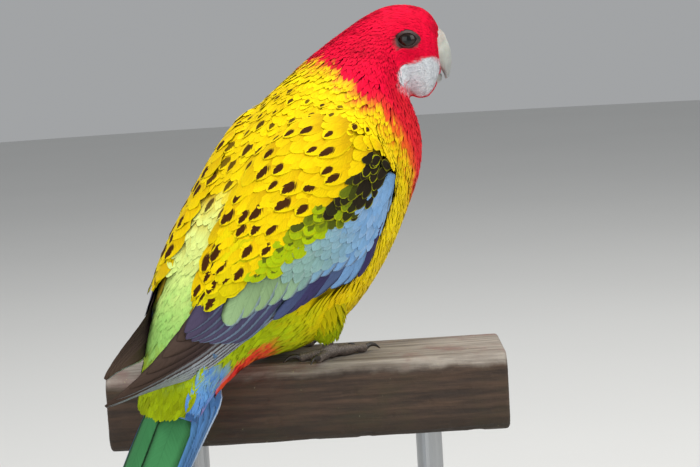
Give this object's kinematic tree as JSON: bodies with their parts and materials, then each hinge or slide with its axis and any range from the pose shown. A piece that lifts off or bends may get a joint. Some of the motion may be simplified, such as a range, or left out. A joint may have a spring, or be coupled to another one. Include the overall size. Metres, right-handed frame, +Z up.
{
  "type": "perched eastern rosella parrot",
  "caption": "Still life-size eastern rosella parrot perched on a short cut length of timber rail, held by a plain display stand.",
  "frame": {"origin": "middle of the underside of the stand's base, straight below the point between the bird's feet", "axes": "+X the way the bird's trunk faces, +Y the bird's left, +Z up"},
  "size_m": [0.2292, 0.1858, 0.2767],
  "materials": {
    "plumage_red": "scarlet feathers, soft and matt",
    "plumage_yellow": "bright yellow feathers with dark brown spots",
    "plumage_green": "lime green feathers",
    "wing_feathers": "blue, violet and dark brown wing feathers with pale edges",
    "tail_feathers": "green and pale blue tail feathers with white edges",
    "thigh_plumage": "yellow green feathers",
    "foot_skin": "grey scaly skin",
    "eye": "wet dark brown",
    "bill_horn": "pale bluish horn, satin",
    "claw_horn": "dark grey horn, satin",
    "weathered_timber": "weathered grey brown timber, rough",
    "stand_paint": "black satin paint",
    "stand_steel": "brushed"
  },
  "bodies": {
    "root": {"head": "plumage_red", "neck": "plumage_red", "trunk": "plumage_yellow", "rump": "plumage_green", "wing_left": "wing_feathers", "wing_right": "wing_feathers", "tail": "tail_feathers", "leg_left": "thigh_plumage", "leg_right": "thigh_plumage", "foot_left": "foot_skin", "foot_right": "foot_skin", "eye_left": "eye", "eye_right": "eye", "upper_bill": "bill_horn", "lower_bill": "bill_horn", "perch": "weathered_timber", "stand_base": "stand_paint", "stand_rod_a": "stand_steel", "stand_rod_b": "stand_steel"}
  },
  "joints": []
}
